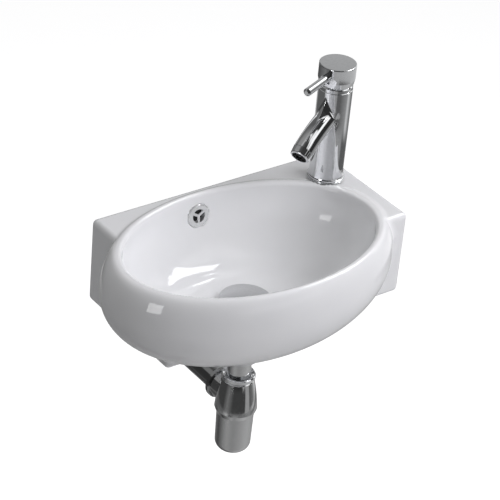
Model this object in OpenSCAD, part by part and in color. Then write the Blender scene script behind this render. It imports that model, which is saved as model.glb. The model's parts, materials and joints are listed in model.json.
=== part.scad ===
// Wall-hung cloakroom washbasin with single-lever tap, press-open waste and bottle trap.
// Millimetres. The origin is midway between the two fixing holes, on the wall plane.
// +X runs to the right, +Y into the wall and +Z up.

/* [Ceramic block] */
// Width of the wall block
block_w = 373; // [366:1:380]
// Depth of the wall block from the wall
block_d = 186; // [180:1:192]
// Height of the wall block
block_h = 122; // [120:1:130]
// Height of the deck above the fixing holes
deck_z = 50; // [46:1:54]
// Rounding of the block's edges
edge_r = 7; // [4:0.5:9]
// Thickness of the block's walls
wall_t = 10; // [8:0.5:11]
// Thickness of the deck
deck_t = 14; // [12:0.5:16]

/* [Ceramic bowl] */
// Distance of the bowl's centre to the left of the block's middle
bowl_shift = 33; // [28:1:38]
// Distance of the bowl's centre from the wall
bowl_reach = 137.5; // [137.5:0.5:141]
// Half depth of the bowl's opening
rim_b = 117.5; // [114:0.5:118]
// Width of the bowl over its depth
bowl_ratio = 1.535; // [1.5:0.005:1.56]
// Radius of the lip's inner edge
lip_r = 5.5; // [4.5:0.25:6]
// Height of the lip above the deck
lip_h = 3; // [2:0.25:4]
// Half depth of the bowl's outside at its widest level
bulge_b = 136.5; // [134:0.5:137]
// Drop from the deck to the widest level
bulge_drop = 44; // [40:1:48]
// Depth of the bowl's floor below the deck
bowl_depth = 101; // [98:0.5:102]
// Half depth of the flat floor
floor_b = 42; // [40:0.5:48]

/* [Ceramic holes] */
// Distance between the two fixing holes
fixing_spacing = 280; // [270:1:290]
// Radius of a fixing hole
fixing_r = 6; // [5:0.25:7]
// Radius of the tap hole
tap_hole_r = 17.5; // [17:0.25:18]
// Radius of the drain hole
drain_hole_r = 23; // [22.5:0.25:24]
// Radius of the overflow hole
overflow_hole_r = 11; // [10.5:0.25:12]
// Drop from the deck to the overflow's centre
overflow_drop = 29; // [27:0.5:32]

/* [Waste] */
// Radius of the waste's flange
flange_r = 32; // [31:0.25:33]
// Outer radius of the waste's threaded tail
tail_r = 20.95; // [20.5:0.05:21.2]
// Length of the tail below the flange
tail_l = 67.5; // [66:0.5:69]
// Radius of the plug cap
plug_r = 34.4; // [33.5:0.1:35]
// Travel of the plug
plug_travel = 5.5; // [5:0.25:6]

/* [Trap] */
// Outer radius of the trap's tubes
tube_r = 16; // [15.5:0.1:16.5]
// Wall of the trap's tubes
tube_t = 1; // [0.8:0.1:1.4]
// Drop from the deck to the trap's neck
trap_drop = 212.5; // [210:0.5:218]
// Radius of the trap's nuts
trap_nut_r = 22.7; // [22:0.1:23.5]
// Greatest radius of the bell
bell_r = 28.8; // [28.2:0.1:29.4]
// Height of the bell with its neck
bell_h = 57.7; // [57:0.1:60]
// Radius of the cup
cup_r = 25.3; // [25:0.1:25.8]
// Length of the cup below the bell
cup_l = 61.6; // [54:0.1:68]
// Drop from the bell's shoulder to the outlet's axis
outlet_drop = 32.5; // [31:0.5:33]
// Reach of the trap's outlet from the trap's axis
outlet_reach = 38; // [37:0.5:42]
// Length of outlet pipe that enters the wall
wall_entry = 30; // [25:1:50]

/* [Tap] */
// Distance of the tap to the right of the block's middle
tap_x = 146.5; // [143:0.5:148]
// Distance of the tap from the wall
tap_reach = 57.5; // [55:0.5:60]
// Turn of the tap from the bowl's middle towards the wall
tap_turn = 1.5; // [0:0.5:3]
// Height of the tap above the deck
tap_h = 171.5; // [168:0.5:175]
// Radius of the body at its top
body_top_r = 23.2; // [23:0.1:23.6]
// Radius of the body above its foot
body_low_r = 22.8; // [22:0.1:22.9]
// Radius of the foot
foot_r = 25.3; // [25:0.1:26]
// Greatest radius of the handle cap
cap_r = 24.8; // [24.4:0.1:25.4]
// Radius of the lever
lever_r = 5.4; // [5:0.1:5.6]
// Reach of the lever's tip from the tap's axis
lever_reach = 80; // [75:1:90]
// Radius of the spout
spout_r = 14; // [13.6:0.1:14.4]
// Radius of the spout's bend
spout_bend = 203; // [195:1:212]
// Angle below level at which the spout leaves the tap's axis
spout_from = 11; // [9.5:0.5:12.5]
// Angle below level of the spout's end
spout_to = 33; // [31:0.5:35]
// Drop from the body's top to the spout's axis, where it meets the tap's axis
spout_drop = 36.7; // [35.5:0.2:38.5]

/* [Hidden] */
$fn = 96;

// Overlap of a cut past the face that it opens
cut = 1;
// Radial play of pieces that turn or slide in each other
running = 0.05;
// Space between a nut's bore and what passes through it
slack = 0.4;

// Ceramic levels and places
base_z = deck_z - block_h;
bowl_x = -bowl_shift;
bowl_y = -bowl_reach;
crest_r = rim_b + lip_r;
crest_z = deck_z + lip_h;
bulge_z = deck_z - bulge_drop;
bulge_core = 53;
bulge_low_z = base_z - 10.5;
floor_z = deck_z - bowl_depth;
hollow_top = deck_z - 10;
dish_r = flange_r + 2;
dish_z = floor_z - 3;
under_recess_r = 38;
under_recess_z = dish_z - 12;
rib_w = 26;

// Overflow
overflow_z = deck_z - overflow_drop;
overflow_wall_y = bowl_y + hollow_radius(overflow_z);
overflow_tilt = atan((hollow_radius(overflow_z + 1) - hollow_radius(overflow_z - 1)) / 2);
overflow_ring_r = 16;
overflow_seat_r = overflow_ring_r + 1;
overflow_sink = 1.2;
overflow_sleeve_l = 4.5;
duct_r = 5;
duct_y = -wall_t - duct_r - 0.5;
channel_r = 4;
channel_z = dish_z - 6;

// Tap hole surroundings
tap_y = -tap_reach;
tap_clear_r = 25;
heading = atan2(bowl_y - tap_y, bowl_x - tap_x) - tap_turn;

// Waste levels
top_seal_t = 1.5;
flange_t = 3;
flange_z = dish_z + top_seal_t;
flange_top_z = flange_z + flange_t;
tail_end_z = flange_z - tail_l;
tail_bore_r = tail_r - 2.95;
seat_r = flange_r - 5;
seat_z = flange_z + 0.6;
bottom_seal_h = 7;
bottom_seal_r = 31;
back_nut_h = 10;
back_nut_r = 27;
back_nut_z = under_recess_z - bottom_seal_h - back_nut_h;
hub_drop = 36;
hub_z = flange_top_z - hub_drop;
hub_h = 5;
hub_r = 8.5;
click_r = 6;
click_above = 16;
click_below = 6;
click_top_z = hub_z + hub_h + click_above;
click_low_z = hub_z - click_below;
stem_r = 3.5;

// Plug levels at rest, with the plug up
plug_gap = 0.5;
plug_low_z = flange_top_z + plug_gap + plug_travel;
plug_rim_h = 2;
plug_dome_h = 3;
plug_seal_r = 23;
plug_seal_h = 2.3;

// Joint of the waste and the trap's tube
washer_t = 3;
collar_t = 2;
collar_r = 19.6;
inlet_nut_r = 25.5;
inlet_nut_lip = 7;
inlet_nut_grip = 7;
inlet_nut_low_z = tail_end_z - washer_t - collar_t - inlet_nut_lip;

// Trap levels
neck_z = deck_z - trap_drop;
neck_r = 19.9;
neck_h = 4;
trap_nut_h = 6.5;
nut_lip = 2.5;
top_gland = 1;
outlet_gland = 1;
bell_top_z = neck_z - neck_h;
bell_low_z = bell_top_z - bell_h + neck_h;
bell_chamfer_h = 7;
bell_lip_r = cup_r + 1;
bell_top_r = 21.5;
cup_thread_r = cup_r - 0.7;
cup_thread_l = 7;
cup_top_z = bell_low_z + cup_thread_l;
cup_seal_h = 2;
cup_low_z = bell_low_z - cup_l;
cup_corner_r = 13;
cup_foot_r = cup_r - 1;
cup_t = 1.6;
dip_clear = 22;
chamber_r = 21;
socket_l = 18;
socket_r = tube_r + 1.6;
outlet_z = bell_top_z - outlet_drop;
outlet_bore_r = tube_r - 4.5;
outlet_neck_y = bowl_y + outlet_reach;
outlet_nut_l = 7;
outlet_nut_y = outlet_neck_y + outlet_gland + nut_lip - outlet_nut_l;
spigot_from = 12;
rosette_r = 32;
rosette_h = 9;
sized_r = tube_r - 0.25;

// Tap heights above the deck
seal_h = 1;
base_hole_r = 17;
foot_z = 4.5;
flare_h = 14;
handle_h = 34.8;
body_top = tap_h - handle_h;
spout_h = body_top - spout_drop;
dome_top = body_top + 7;
cap_low = dome_top + 0.5;
cap_skirt_r = cap_r - 1.5;
cap_hollow_r = cap_skirt_r - 2.8;
cap_roof = 4;
lever_h = tap_h - 12;
pivot_h = body_top - 14.5;
dome_sphere_r = norm([cap_hollow_r, cap_low - pivot_h]) - 0.4;
waterway_r = 9;
chamber_tap_r = 18;
nut_thread_r = chamber_tap_r + 2;
nut_slot_w = 4;
nut_slot_h = 2;
chamber_low = spout_h + waterway_r + 2;
housing_low = chamber_low + 1;
housing_top = body_top - 6;
carrier_r = 12;
carrier_low = pivot_h - 6;
carrier_top = body_top + 1.5;
slot_back = 10;
slot_l = 17;
stem_w = 7;
stem_top = tap_h - 12;
pin_r = 1.5;
pin_l = 17;
grub_h = cap_low + 6;
arch_r = 15;
arch_drop = 4;
arch_face = cap_r - 3;
grub_r = 2;
grub_end = arch_face - 5;
grub_socket_l = 2.5;
inlet_r = 4.75;
inlet_side = 9.5;
inlet_ahead = 5;
inlet_l = 16;
passage_r = 2.6;
passage_side = waterway_r + passage_r + 0.6;
stud_r = 4;
stud_back = 8;
stud_in = 17;
stud_below = 26;
aerator_l = 10.5;
aerator_thread_r = 11.5;
aerator_bore_r = 10.4;

// Radius of the bowl's inside at a height, measured along its depth
function hollow_radius(z) =
    z >= hollow_top ? rim_b :
    floor_b + (rim_b - floor_b) * sqrt(1 - pow((hollow_top - z) / (hollow_top - floor_z), 2));

// Upright ring between two heights
module ring(outer, inner, low, high) {
    difference() {
        translate([0, 0, low]) cylinder(r = outer, h = high - low);
        translate([0, 0, low - cut]) cylinder(r = inner, h = high - low + 2 * cut);
    }
}

// Upright rod between two heights
module rod(r, low, high) {
    translate([0, 0, low]) cylinder(r = r, h = high - low);
}

// Rectangle with round corners, centred
module rounded_rect(w, h, r) {
    square([w - 2 * r, h], center = true);
    square([w, h - 2 * r], center = true);
    for (sx = [-1, 1], sy = [-1, 1])
        translate([sx * (w / 2 - r), sy * (h / 2 - r)]) circle(r);
}

// Quarter of an ellipse that fills the outer lower or outer upper corner at a centre
module quarter_ellipse(centre, radii, side) {
    intersection() {
        translate(centre) scale(radii) circle(1);
        translate([centre[0], side > 0 ? centre[1] : centre[1] - radii[1]]) square(radii);
    }
}

// Places
module at_bowl() translate([bowl_x, bowl_y, 0]) children();
module at_tap() translate([tap_x, tap_y, deck_z]) rotate([0, 0, heading]) children();
// Turns an upright piece so that it comes out of the bowl's wall at the overflow
module at_overflow() translate([bowl_x, overflow_wall_y, overflow_z])
    rotate([90 - overflow_tilt, 0, 0]) children();
// Turns an upright piece so that it runs forward from the tap's axis
module forward(height) translate([0, 0, height]) rotate([0, 90, 0]) children();
// Turns an upright piece so that it runs towards the wall
module wallward(y, z) translate([bowl_x, y, z]) rotate([-90, 0, 0]) children();

// Ceramic
module block_solid() {
    intersection() {
        translate([0, -block_d / 2, base_z]) linear_extrude(block_h)
            rounded_rect(block_w, block_d, edge_r);
        translate([0, 0, base_z + block_h / 2]) rotate([90, 0, 0]) linear_extrude(block_d)
            rounded_rect(block_w, block_h, edge_r);
        translate([-block_w / 2, -block_d / 2, base_z + block_h / 2]) rotate([90, 0, 90])
            linear_extrude(block_w) rounded_rect(block_d, block_h, edge_r);
    }
}

module block_hollow() {
    translate([-block_w / 2 + wall_t, -block_d + wall_t, base_z - cut])
        cube([block_w - 2 * wall_t, block_d - 2 * wall_t, block_h - deck_t + cut]);
}

module bowl_outline() {
    translate([0, base_z]) square([bulge_core, bulge_z - base_z]);
    intersection() {
        quarter_ellipse([bulge_core, bulge_z], [bulge_b - bulge_core, bulge_z - bulge_low_z], -1);
        translate([0, base_z]) square([bulge_b, bulge_z - base_z]);
    }
    translate([0, bulge_z]) square([crest_r, crest_z - bulge_z]);
    quarter_ellipse([crest_r, bulge_z], [bulge_b - crest_r, crest_z - bulge_z], 1);
}

module hollow_outline() {
    translate([0, floor_z]) square([floor_b, hollow_top - floor_z]);
    quarter_ellipse([floor_b, hollow_top], [rim_b - floor_b, hollow_top - floor_z], -1);
    translate([0, hollow_top]) square([rim_b, crest_z + cut - hollow_top]);
    difference() {
        translate([rim_b - cut, crest_z - lip_r]) square([lip_r + cut, lip_r + cut]);
        translate([crest_r, crest_z - lip_r]) circle(lip_r);
    }
}

module oval() at_bowl() scale([bowl_ratio, 1, 1]) rotate_extrude() children();

module fixing_cuts() {
    nut_room = 14;
    nut_depth = 16;
    for (side = [-1, 1]) translate([side * fixing_spacing / 2, 0, 0]) {
        rotate([90, 0, 0]) rod(fixing_r, -cut, wall_t + cut);
        rotate([90, 0, 0]) rod(nut_room, wall_t, wall_t + nut_depth);
        translate([-nut_room, -wall_t - nut_depth, base_z - cut])
            cube([2 * nut_room, nut_depth, cut - base_z]);
    }
}

module overflow_cuts() {
    at_overflow() {
        rod(overflow_hole_r, overflow_wall_y - duct_y, 4);
        rod(overflow_seat_r, -overflow_sink, 4);
    }
    translate([bowl_x, duct_y, 0]) rod(duct_r, channel_z, overflow_z);
    translate([bowl_x, duct_y, channel_z]) rotate([90, 0, 0]) rod(channel_r, 0, duct_y - bowl_y);
}

module basin() color("white") difference() {
    union() {
        difference() {
            block_solid();
            block_hollow();
        }
        oval() bowl_outline();
        translate([bowl_x - rib_w / 2, duct_y - duct_r - 8, base_z])
            cube([rib_w, -duct_y + duct_r + 8 - wall_t + cut, -base_z]);
    }
    oval() hollow_outline();
    at_bowl() {
        rod(dish_r, dish_z, floor_z + cut);
        rod(drain_hole_r, base_z, dish_z + cut);
        rod(under_recess_r, base_z - cut, under_recess_z);
    }
    translate([tap_x, tap_y, 0]) {
        rod(tap_hole_r, base_z, deck_z + cut);
        rod(tap_clear_r, base_z - cut, deck_z - deck_t);
        rod(foot_r + 0.5, deck_z, crest_z + cut);
    }
    fixing_cuts();
    overflow_cuts();
}

module overflow_ring() color("silver") at_overflow()
    translate([0, 0, -overflow_sink]) {
        hole_r = overflow_ring_r - 6.5;
        face_t = 2.8;
        round_r = 1.5;
        sleeve_t = 1.4;
        spoke_w = 3.4;
        spoke_t = 1.1;
        rotate_extrude() {
            translate([hole_r, 0]) square([overflow_ring_r - hole_r - round_r, face_t]);
            translate([hole_r, 0]) square([overflow_ring_r - hole_r, face_t - round_r]);
            intersection() {
                translate([overflow_ring_r - round_r, face_t - round_r]) circle(round_r);
                translate([overflow_ring_r - round_r - 0.5, face_t - round_r - 0.5])
                    square([round_r + 0.5, round_r + 0.5]);
            }
            translate([overflow_hole_r - running - sleeve_t, -overflow_sleeve_l])
                square([sleeve_t, overflow_sleeve_l + 0.6]);
        }
        difference() {
            union() {
                rod(2.2, 0.8, face_t - 0.6);
                for (turn = [30, 150, 270]) rotate([0, 0, turn])
                    translate([1, -spoke_w / 2, 0.9]) cube([hole_r, spoke_w, spoke_t]);
            }
            translate([0, 0, -cut]) ring(hole_r + 3, hole_r + 0.6, 0, face_t + 2 * cut);
        }
    }

// Waste
module waste_body() color("silver") at_bowl() {
    window_w = 14;
    window_z = dish_z - 10;
    window_h = 7;
    difference() {
        union() {
            difference() {
                union() {
                    rod(flange_r, flange_z, flange_top_z);
                    rod(tail_r, tail_end_z, flange_z + cut);
                }
                rod(tail_bore_r, tail_end_z - cut, flange_top_z + cut);
                translate([0, 0, seat_z])
                    cylinder(r1 = tail_bore_r, r2 = seat_r, h = flange_top_z - seat_z);
                translate([0, 0, flange_top_z - cut / 2]) cylinder(r = seat_r, h = cut);
            }
            rod(hub_r, hub_z, hub_z + hub_h);
            for (turn = [45, 135]) rotate([0, 0, turn])
                translate([-tail_bore_r - cut, -1.5, hub_z]) cube([2 * (tail_bore_r + cut), 3, hub_h]);
        }
        rod(click_r + running, hub_z - cut, hub_z + hub_h + cut);
        for (turn = [0, 90]) rotate([0, 0, turn])
            translate([-tail_r - cut, -window_w / 2, window_z]) cube([2 * (tail_r + cut), window_w, window_h]);
    }
}

module waste_top_seal() color("dimgray") at_bowl()
    ring(flange_r - 0.5, tail_r + slack, dish_z, flange_z);

module waste_bottom_seal() color("dimgray") at_bowl() difference() {
    translate([0, 0, under_recess_z - bottom_seal_h])
        cylinder(r1 = back_nut_r, r2 = bottom_seal_r, h = bottom_seal_h);
    rod(tail_r + slack, under_recess_z - bottom_seal_h - cut, under_recess_z + cut);
}

module waste_back_nut() color("goldenrod") at_bowl() difference() {
    lug_w = 8;
    lug_out = 3;
    union() {
        rod(back_nut_r, back_nut_z, back_nut_z + back_nut_h);
        for (turn = [0 : 45 : 315]) rotate([0, 0, turn])
            translate([tail_r, -lug_w / 2, back_nut_z])
                cube([back_nut_r + lug_out - tail_r, lug_w, back_nut_h]);
    }
    rod(tail_r + running, back_nut_z - cut, back_nut_z + back_nut_h + cut);
}

module click_cartridge() color("ivory") at_bowl() difference() {
    union() {
        rod(click_r, click_low_z, click_top_z);
        rod(hub_r - 0.5, hub_z + hub_h, hub_z + hub_h + 3);
    }
    rod(stem_r + running, click_low_z + 2, click_top_z + cut);
}

module plug_stem() color("silver") at_bowl() {
    rod(stem_r, click_low_z + 2 + plug_travel + 1, plug_low_z);
    rod(5.2, click_top_z + plug_travel + 0.6, click_top_z + plug_travel + 2.6);
}

module drain_plug() color("silver") at_bowl() {
    dome_r = (plug_r * plug_r + plug_dome_h * plug_dome_h) / (2 * plug_dome_h);
    rim_round = 1;
    difference() {
        union() {
            rotate_extrude() {
                translate([0, plug_low_z]) square([plug_r - rim_round, plug_rim_h]);
                translate([0, plug_low_z + rim_round]) square([plug_r, plug_rim_h - rim_round]);
                translate([plug_r - rim_round, plug_low_z + rim_round]) circle(rim_round);
            }
            intersection() {
                translate([0, 0, plug_low_z + plug_rim_h + plug_dome_h - dome_r]) sphere(r = dome_r, $fn = 180);
                rod(plug_r, plug_low_z + plug_rim_h, plug_low_z + plug_rim_h + plug_dome_h + cut);
            }
        }
        rod(stem_r - 1, plug_low_z - cut, plug_low_z + plug_rim_h);
    }
    rod(stem_r - 1 - running, plug_low_z, plug_low_z + plug_rim_h);
}

module plug_seal() color("dimgray") at_bowl() translate([0, 0, plug_low_z]) rotate_extrude()
    polygon([
        [stem_r + slack, -plug_seal_h], [plug_seal_r - 4, -plug_seal_h], [plug_seal_r, -plug_seal_h + 1.1],
        [plug_seal_r, 0], [stem_r + slack, 0]
    ]);

// Joint of the waste and the trap's tube
module inlet_nut() color("silver") at_bowl() {
    grip = 24;
    top = tail_end_z + inlet_nut_grip;
    difference() {
        union() {
            rod(inlet_nut_r - 0.8, inlet_nut_low_z, top);
            for (turn = [0 : 360 / grip : 359]) rotate([0, 0, turn])
                translate([inlet_nut_r - 1.6, -1.1, inlet_nut_low_z + 2])
                    cube([1.6, 2.2, top - inlet_nut_low_z - 4]);
        }
        rod(tail_r + running, inlet_nut_low_z + inlet_nut_lip, top + cut);
        rod(tube_r + slack, inlet_nut_low_z - cut, inlet_nut_low_z + inlet_nut_lip + cut);
    }
}

module inlet_washer() color("dimgray") at_bowl()
    ring(collar_r, tube_r - tube_t, tail_end_z - washer_t, tail_end_z);

module inlet_tube() color("silver") at_bowl() difference() {
    union() {
        rod(tube_r, bell_top_z - socket_l + 2, tail_end_z - washer_t);
        rod(collar_r, tail_end_z - washer_t - collar_t, tail_end_z - washer_t);
    }
    rod(tube_r - tube_t, bell_top_z - socket_l, tail_end_z);
}

// Trap
module gland_nut(outer, h) {
    chamfer = 1.2;
    rim = 0.8;
    funnel_h = 2.2;
    bore = tube_r + slack;
    rotate_extrude() polygon([
        [neck_r + running, 0], [outer - chamfer, 0], [outer, chamfer], [outer, h - chamfer],
        [outer - chamfer, h], [outer - chamfer - rim, h], [bore, h - funnel_h], [bore, h - nut_lip],
        [neck_r + running, h - nut_lip]
    ]);
}

module trap_top_nut() color("silver") at_bowl()
    translate([0, 0, neck_z + top_gland + nut_lip - trap_nut_h]) gland_nut(trap_nut_r, trap_nut_h);

module trap_top_seal() color("dimgray") at_bowl()
    ring(neck_r - 0.6, tube_r + running, neck_z, neck_z + top_gland);

// Half section of the bell, from its shoulder to the chamfer over the cup
module bell_outline() {
    shoulder_z = bell_top_z - 1.2;
    widest_z = bell_low_z + bell_chamfer_h;
    core = chamber_r - 2;
    swell = 1;
    run = bell_r - bell_top_r;
    fall = shoulder_z - widest_z;
    chord = norm([run, fall]);
    side_r = (chord * chord / 4 + swell * swell) / (2 * swell);
    back = side_r - swell;
    translate([0, bell_low_z]) square([core, bell_top_z - bell_low_z]);
    polygon([[core - 1, widest_z], [bell_r, widest_z], [bell_lip_r, bell_low_z], [core - 1, bell_low_z]]);
    polygon([[core - 1, bell_top_z], [bell_top_r - 1.2, bell_top_z], [bell_top_r, shoulder_z], [core - 1, shoulder_z]]);
    intersection() {
        translate([(bell_r + bell_top_r) / 2 - back * fall / chord, (shoulder_z + widest_z) / 2 - back * run / chord])
            circle(side_r, $fn = 480);
        translate([core - 1, widest_z]) square([bell_r, fall]);
    }
}

module trap_body() color("silver") at_bowl() difference() {
    union() {
        rod(neck_r, bell_top_z - 6, neck_z);
        rotate_extrude() bell_outline();
        translate([0, 0, outlet_z]) rotate([-90, 0, 0]) rod(neck_r, spigot_from, outlet_neck_y - bowl_y);
    }
    rod(cup_thread_r + running, bell_low_z - cut, cup_top_z + cup_seal_h);
    ring(chamber_r, socket_r, cup_top_z + cup_seal_h - cut, bell_top_z - 5);
    rod(socket_r + cut, cup_top_z + cup_seal_h - cut, bell_top_z - socket_l);
    rod(tube_r - 2, bell_top_z - socket_l - cut, neck_z);
    rod(tube_r + running, bell_top_z - socket_l + 2, neck_z + cut);
    translate([0, 0, outlet_z]) rotate([-90, 0, 0]) {
        rod(outlet_bore_r, spigot_from + 7, outlet_neck_y - bowl_y);
        rod(tube_r + running, outlet_neck_y - bowl_y - 10, outlet_neck_y - bowl_y + cut);
    }
}

module dip_tube() color("gainsboro") at_bowl()
    ring(tube_r - 2 - running, tube_r - 3.4, cup_low_z + dip_clear, bell_top_z - socket_l + 2);

module trap_cup() color("silver") at_bowl() rotate_extrude() difference() {
    cup_outline(0);
    cup_outline(cup_t);
}

// Half section of the cup, drawn inwards by the wall for its inside
module cup_outline(inset) {
    foot = cup_foot_r - inset;
    corner = cup_corner_r - inset;
    low = cup_low_z + inset;
    top = inset > 0 ? cup_top_z + cut : cup_top_z;
    inside_r = inset > 0 ? cup_thread_r - inset : cup_r;
    polygon([
        [0, low], [foot - corner, low], [foot - corner, low + corner], [foot, low + corner],
        [min(inside_r, cup_r - inset), bell_low_z - 2], [min(inside_r, cup_r - inset), bell_low_z - 0.3],
        [cup_thread_r - inset, bell_low_z - 0.3], [cup_thread_r - inset, top], [0, top]
    ]);
    intersection() {
        translate([foot - corner, low + corner]) circle(corner);
        translate([foot - corner, low]) square([corner, corner]);
    }
}

module cup_seal() color("dimgray") at_bowl()
    ring(cup_thread_r - slack, chamber_r - 0.5, cup_top_z, cup_top_z + cup_seal_h - 0.2);

module outlet_nut() color("silver") wallward(outlet_nut_y, outlet_z)
    gland_nut(trap_nut_r, outlet_nut_l);

module outlet_seal() color("dimgray") wallward(outlet_neck_y, outlet_z)
    ring(neck_r - 0.6, tube_r + running, 0, outlet_gland);

module outlet_pipe() color("silver") {
    from = outlet_neck_y - 9;
    wallward(from, outlet_z) difference() {
        union() {
            rod(tube_r, 0, 2 - from);
            rod(sized_r, 2 - from - cut, wall_entry - from);
        }
        rod(tube_r - tube_t, -cut, wall_entry - from + cut);
    }
}

module wall_rosette() color("silver") wallward(0, outlet_z) rotate([180, 0, 0]) rotate_extrude() {
    sheet = 1;
    collar = tube_r + 0.3;
    intersection() {
        difference() {
            translate([collar + 1, 0]) scale([rosette_r - collar - 1, rosette_h - 2]) circle(1);
            translate([collar + 1, 0])
                scale([rosette_r - collar - 1 - sheet, rosette_h - 2 - sheet]) circle(1);
        }
        translate([collar + 1, 0]) square([rosette_r, rosette_h]);
    }
    translate([collar, rosette_h - 2 - sheet]) square([sheet + 0.5, sheet + 2]);
}

// Tap
// Half section of the tap's body with its flared foot
module tap_profile() {
    waist = foot_z + flare_h;
    flare = foot_r - 0.8 - body_low_r;
    polygon([
        [0, foot_z], [body_low_r, foot_z], [body_low_r, waist], [body_top_r, body_top - 1],
        [body_top_r - 1, body_top], [0, body_top]
    ]);
    difference() {
        translate([body_low_r - 1, foot_z]) square([flare + 1, flare_h]);
        translate([body_low_r + flare, waist]) scale([flare, flare_h - 1.5]) circle(1, $fn = 48);
    }
}

// Bent rod along the spout's axis
module spout_rod(r, from_angle, to_angle) {
    translate([-spout_bend * sin(spout_from), 0, spout_h - spout_bend * cos(spout_from)])
        rotate([90, 0, 0]) rotate([0, 0, 90 - to_angle])
            rotate_extrude(angle = to_angle - from_angle) translate([spout_bend, 0]) circle(r);
}

// Turns an upright piece so that it continues the spout from its end
module at_spout_end() {
    translate([
        spout_bend * (sin(spout_to) - sin(spout_from)), 0,
        spout_h - spout_bend * (cos(spout_from) - cos(spout_to))
    ]) rotate([0, 90 + spout_to, 0]) children();
}

module tap_body() color("silver") at_tap() difference() {
    feed_r = 6;
    feed_back = 2;
    union() {
        rotate_extrude() tap_profile();
        spout_rod(spout_r, spout_from, spout_to);
    }
    rod(chamber_tap_r, chamber_low, body_top + cut);
    rod(nut_thread_r, housing_top, body_top + cut);
    spout_rod(waterway_r, spout_from - 1, spout_to + 1);
    translate([-feed_back, 0, 0]) rod(feed_r, spout_h - 2, chamber_low + cut);
    at_spout_end() rod(aerator_thread_r + running, -7, cut);
    for (side = [-1, 1]) translate([inlet_ahead, 0, 0]) {
        translate([0, side * inlet_side, 0]) rod(inlet_r, foot_z - cut, foot_z + inlet_l);
        translate([0, side * passage_side, 0]) rod(passage_r, foot_z + inlet_l - 4, chamber_low + cut);
    }
    translate([-stud_back, 0, 0]) rod(stud_r + running, foot_z - cut, foot_z + stud_in + cut);
}

module tap_base_ring() color("silver") at_tap() rotate_extrude() difference() {
    round_r = 1.2;
    union() {
        translate([base_hole_r, seal_h]) square([foot_r - base_hole_r, foot_z - seal_h - round_r]);
        translate([base_hole_r, seal_h]) square([foot_r - base_hole_r - round_r, foot_z - seal_h]);
        translate([foot_r - round_r, foot_z - round_r]) circle(round_r);
    }
    translate([foot_r + 0.35, seal_h + 1.6]) circle(0.6);
}

module tap_base_seal() color("dimgray") at_tap() ring(foot_r - 0.6, base_hole_r + 0.6, 0, seal_h);

module aerator_housing() color("silver") at_tap() at_spout_end() {
    lip_round = 1.5;
    mouth_r = spout_r - 0.8;
    difference() {
        union() {
            rotate_extrude() {
                polygon([
                    [0, 0], [spout_r, 0], [mouth_r, aerator_l - lip_round], [mouth_r - lip_round, aerator_l],
                    [0, aerator_l]
                ]);
                translate([mouth_r - lip_round, aerator_l - lip_round]) circle(lip_round);
            }
            rod(aerator_thread_r, -6, cut);
        }
        rod(aerator_bore_r, -6 - cut, aerator_l + cut);
        ring(spout_r + 1, spout_r - 0.5, 0.2, 0.8);
    }
}

module aerator_insert() color("dimgray") at_tap() at_spout_end() {
    low = aerator_l - 8;
    high = aerator_l - 2.5;
    rib = 0.9;
    ring(aerator_bore_r - running, aerator_bore_r - 1.3, low, high);
    rod(1.8, low + 1, high);
    ring(5.6, 4.7, low + 1, high - 0.4);
    for (turn = [0 : 30 : 150]) rotate([0, 0, turn])
        translate([-aerator_bore_r + 0.6, -rib / 2, low + 1])
            cube([2 * aerator_bore_r - 1.2, rib, high - low - 1.6]);
}

module cartridge_housing() color("white") at_tap() difference() {
    rod(chamber_tap_r - running, housing_low, housing_top);
    rod(carrier_r, carrier_low - 0.3, housing_top + cut);
    for (turn = [60, 180, 300]) rotate([0, 0, turn])
        translate([8, 0, 0]) rod(3.2, housing_low - cut, carrier_low);
}

module cartridge_carrier() color("gray") at_tap() difference() {
    rod(carrier_r - running, carrier_low, carrier_top);
    slot_w = stem_w + 0.6;
    slot_low = pivot_h - stem_w / 2 - 0.3;
    translate([-slot_back, -slot_w / 2, slot_low]) cube([slot_l, slot_w, carrier_top - slot_low + cut]);
    translate([0, 0, pivot_h]) rotate([90, 0, 0]) rod(pin_r + running, -pin_l / 2 - 0.5, pin_l / 2 + 0.5);
}

module cartridge_stem() color("silver") at_tap() {
    translate([-stem_w / 2, -stem_w / 2, pivot_h]) cube([stem_w, stem_w, stem_top - pivot_h]);
    translate([0, 0, pivot_h]) rotate([90, 0, 0]) rod(stem_w / 2, -stem_w / 2, stem_w / 2);
    translate([0, 0, pivot_h]) rotate([90, 0, 0]) rod(pin_r, -pin_l / 2, pin_l / 2);
}

module cartridge_nut() color("goldenrod") at_tap() difference() {
    nut_top = body_top - 0.5;
    rod(nut_thread_r - running, housing_top, nut_top);
    rod(carrier_r + 1, housing_top - cut, body_top);
    for (turn = [0 : 60 : 120]) rotate([0, 0, turn])
        translate([-nut_thread_r, -nut_slot_w / 2, nut_top - nut_slot_h])
            cube([2 * nut_thread_r, nut_slot_w, nut_slot_h + cut]);
}

module dome_ring() color("silver") at_tap() difference() {
    intersection() {
        rod(body_top_r - 0.3, body_top, dome_top);
        translate([0, 0, pivot_h]) sphere(r = dome_sphere_r);
    }
    rod(chamber_tap_r - 0.5, body_top - cut, dome_top + cut);
}

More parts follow.
